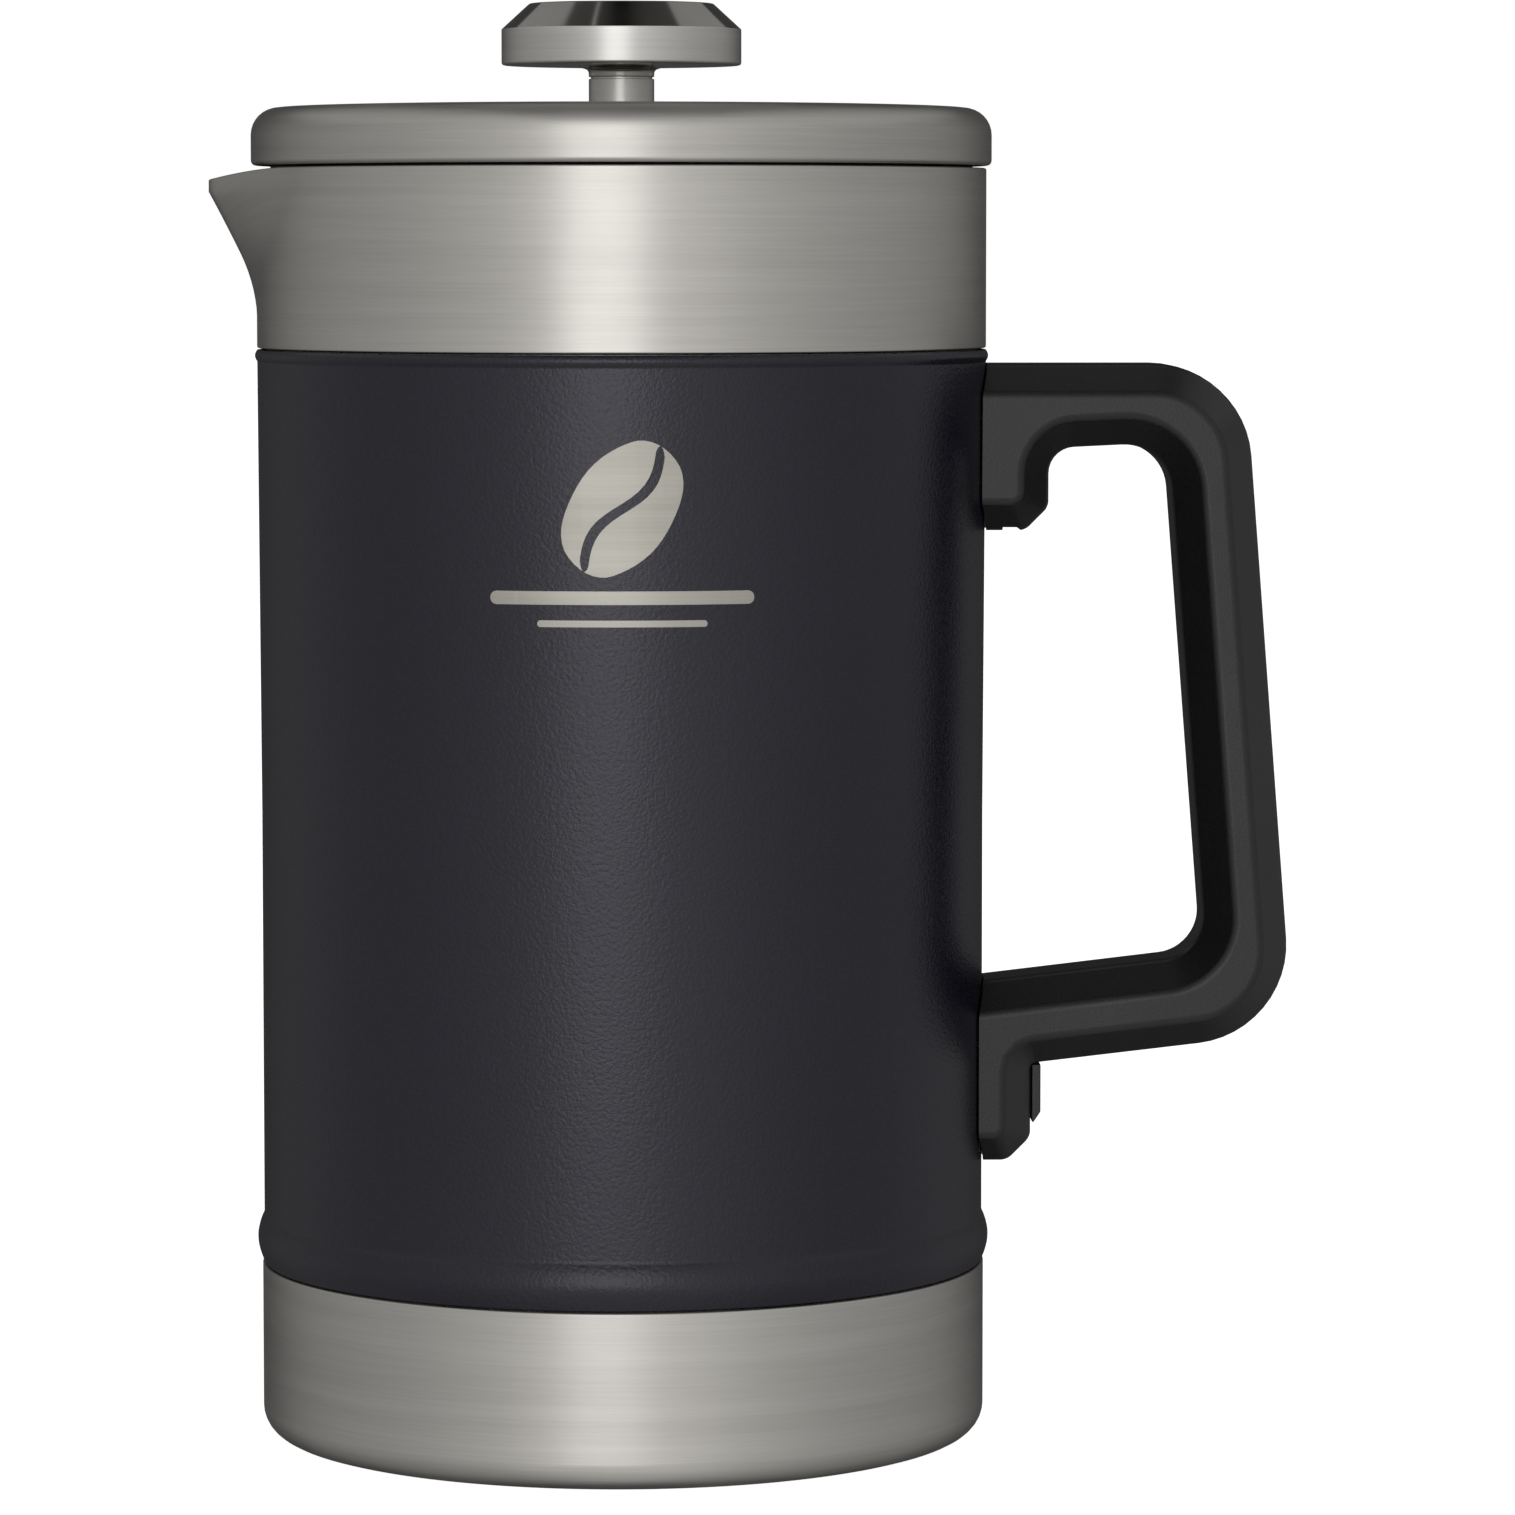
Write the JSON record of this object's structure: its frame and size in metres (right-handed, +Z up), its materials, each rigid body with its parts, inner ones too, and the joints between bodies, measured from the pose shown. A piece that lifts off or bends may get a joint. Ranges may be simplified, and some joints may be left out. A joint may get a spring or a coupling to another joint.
{
  "type": "insulated french press",
  "caption": "Double-walled steel French press with a pouring lip, a moulded side handle, a plug-in lid and a rod plunger with a sprung mesh filter.",
  "frame": {"origin": "on the vessel's axis, at the height of the surface it stands on: the middle of the base pad's underside", "axes": "+Z up along the vessel's axis and the plunger rod, +X towards the handle, -X towards the pouring lip"},
  "size_m": [0.1849, 0.1266, 0.2458],
  "materials": {
    "brushed_steel": "brushed round the axis, satin",
    "plain_steel": "drawn and pickled, smooth",
    "polished_steel": "mirror polished",
    "powder_coat": "fine pebbled powder coat, near black with a little blue",
    "handle_plastic": "fine matt texture",
    "lid_plastic": "smooth satin",
    "silicone": "matt",
    "sealing_metal": "dull"
  },
  "bodies": {
    "vessel": {"pour_collar": "brushed_steel", "body_sleeve": "powder_coat", "base_cup": "brushed_steel", "inner_liner": "plain_steel", "getter_capsule": "sealing_metal", "vacuum_seal": "sealing_metal", "base_pad": "silicone", "handle": "handle_plastic", "handle_upper_bracket": "plain_steel", "handle_lower_bracket": "plain_steel", "handle_screw": "plain_steel", "handle_screw_cover": "handle_plastic"},
    "lid_seal": {"lid_gasket": "silicone"},
    "lid": {"lid_shell": "brushed_steel", "lid_core": "lid_plastic", "lid_bush": "plain_steel", "lid_nut": "plain_steel"},
    "filter_spring": {"filter_coil": "plain_steel"},
    "plunger": {"plunger_rod": "plain_steel", "knob_shell": "brushed_steel", "knob_base": "polished_steel", "knob_ferrule": "brushed_steel", "filter_hub": "plain_steel", "spring_plate": "plain_steel", "mesh_screen": "plain_steel", "cross_plate": "plain_steel"}
  },
  "joints": [
    {"name": "lid_lift", "type": "slide", "parent": "vessel", "child": "lid_seal", "axis": [0, 0, 1], "range_m": [0, 0.21]},
    {"name": "lid_turn", "type": "hinge", "parent": "lid_seal", "child": "lid", "pos_m": [0, 0, 0.2228], "axis": [0, 0, 1], "continuous": true},
    {"name": "plunger_slide", "type": "slide", "parent": "lid", "child": "filter_spring", "axis": [0, 0, 1], "range_m": [0, 0.185]},
    {"name": "plunger_spin", "type": "hinge", "parent": "filter_spring", "child": "plunger", "pos_m": [0, 0, 0.0213], "axis": [0, 0, 1], "continuous": true}
  ]
}
